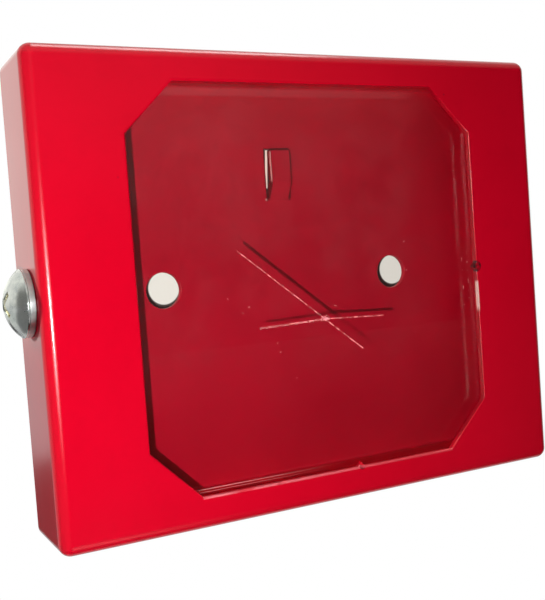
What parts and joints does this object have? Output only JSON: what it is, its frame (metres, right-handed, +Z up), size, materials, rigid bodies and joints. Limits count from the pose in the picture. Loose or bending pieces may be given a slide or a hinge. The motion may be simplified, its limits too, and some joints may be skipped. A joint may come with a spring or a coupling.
{
  "type": "break glass key box",
  "caption": "Shallow red steel wall box with a cut-corner window, scored clear pane, lanced key hook and a domed side screw.",
  "frame": {"origin": "centre of the wall tray's back face, on the wall plane", "axes": "+X to the right as seen from the front, +Y into the wall, +Z up; the front faces -Y"},
  "size_m": [0.1651, 0.0254, 0.127],
  "materials": {
    "red_enamel": "gloss red powder coat",
    "tray_enamel": "gloss red powder coat, in shade",
    "clear_plastic": "clear, polished",
    "plain_steel": "satin",
    "zinc_steel": "bright zinc plate",
    "copper_flash": "copper flashed weld studs",
    "soft_pad": "matt"
  },
  "bodies": {
    "wall_tray": {"back_tray": "tray_enamel", "rivet_nut": "zinc_steel"},
    "cover": {"cover": "red_enamel", "pane": "clear_plastic", "left_clamp_bar": "plain_steel", "right_clamp_bar": "plain_steel", "left_pad": "soft_pad", "right_pad": "soft_pad", "pane_studs": "copper_flash", "stud_washers": "zinc_steel", "stud_nuts": "zinc_steel"},
    "washer": {"screw_washer": "zinc_steel"},
    "screw": {"side_screw": "zinc_steel"}
  },
  "joints": [
    {"name": "cover_lift_off", "type": "slide", "parent": "wall_tray", "child": "cover", "axis": [0, -1, 0], "range_m": [0, 0.06]},
    {"name": "screw_travel", "type": "slide", "parent": "wall_tray", "child": "washer", "axis": [-1, 0, 0], "range_m": [0, 0.0127]},
    {"name": "screw_turn", "type": "hinge", "parent": "washer", "child": "screw", "pos_m": [-0.07938, -0.0127, 0], "axis": [-1, 0, 0], "range_deg": [0, 3240]}
  ],
  "couplings": [
    {"joint": "screw_travel", "follows": "screw_turn", "m_per_rad": 0.00022458}
  ]
}
